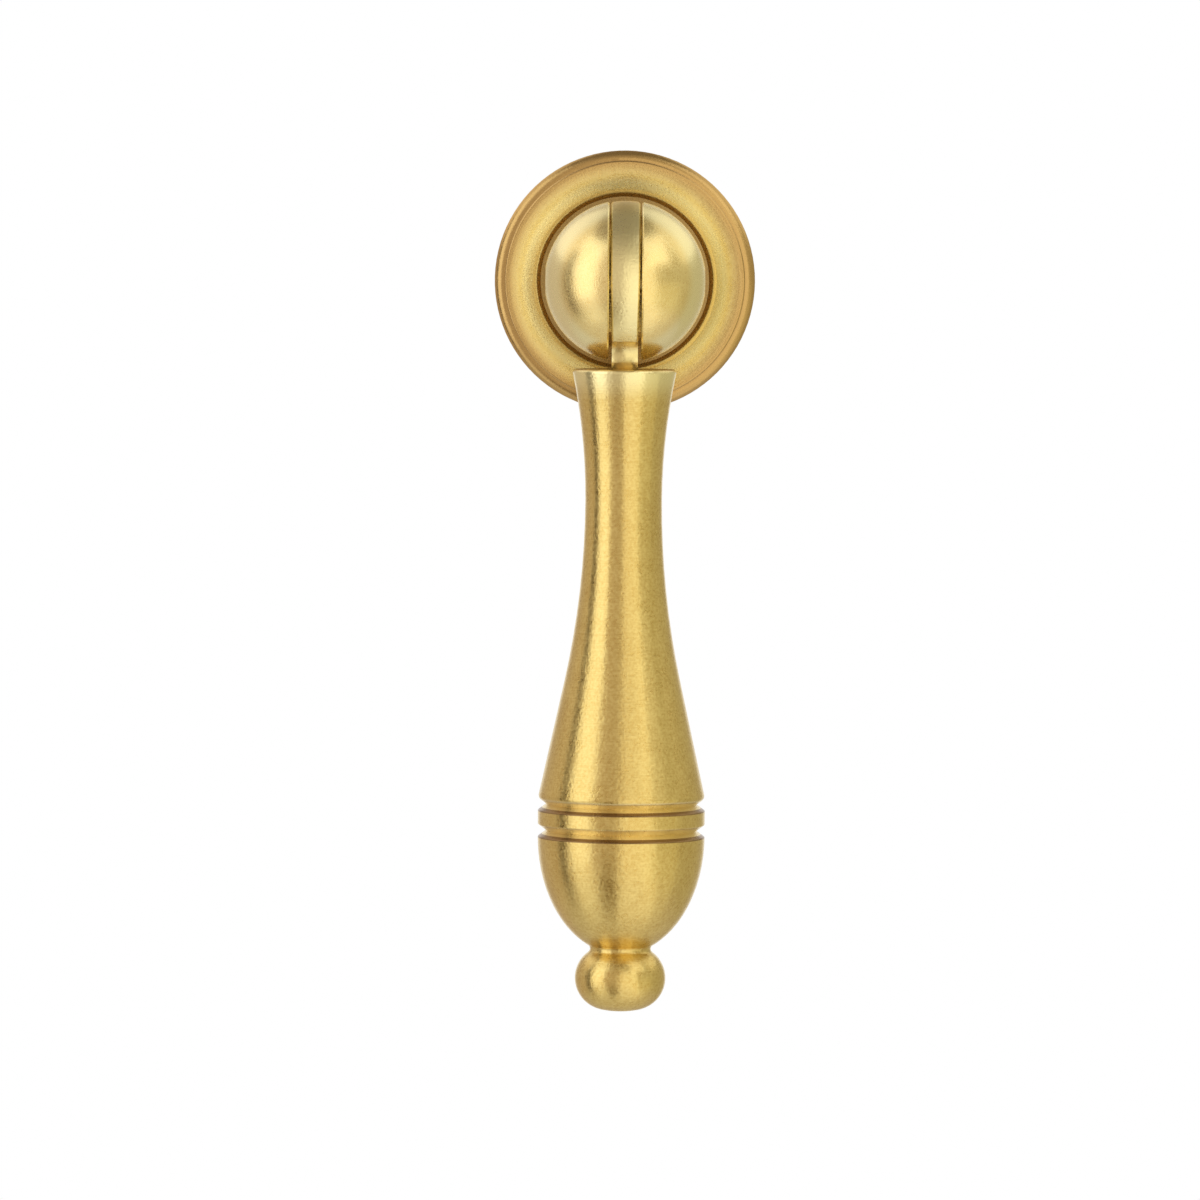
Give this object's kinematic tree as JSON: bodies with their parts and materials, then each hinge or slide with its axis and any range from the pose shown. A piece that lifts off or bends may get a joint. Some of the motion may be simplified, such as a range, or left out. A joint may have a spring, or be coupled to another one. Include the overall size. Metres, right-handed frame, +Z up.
{
  "type": "drop pull",
  "caption": "Brass drop pull for a drawer: a turned pendant with ring grooves and a finial, hinged in a slotted ball on a round stepped rosette.",
  "frame": {"origin": "centre of the rosette's back face, which lies on the drawer, on the axis of the mounting thread", "axes": "+Z up, the drop hangs along -Z; the room is towards -Y and the drawer towards +Y; the hinge pin lies along X"},
  "size_m": [0.019, 0.016, 0.062],
  "materials": {
    "satin_brass": "matte brushed brass",
    "pin_brass": "plain drawn brass"
  },
  "bodies": {
    "fixed": {"base_plate": "satin_brass", "ball_post": "satin_brass", "hinge_pin": "pin_brass"},
    "drop": {"drop_handle": "satin_brass"}
  },
  "joints": [
    {"name": "drop_swing", "type": "hinge", "parent": "fixed", "child": "drop", "pos_m": [0, -0.01, 0], "axis": [-1, 0, 0], "range_deg": [-5, 185]}
  ]
}
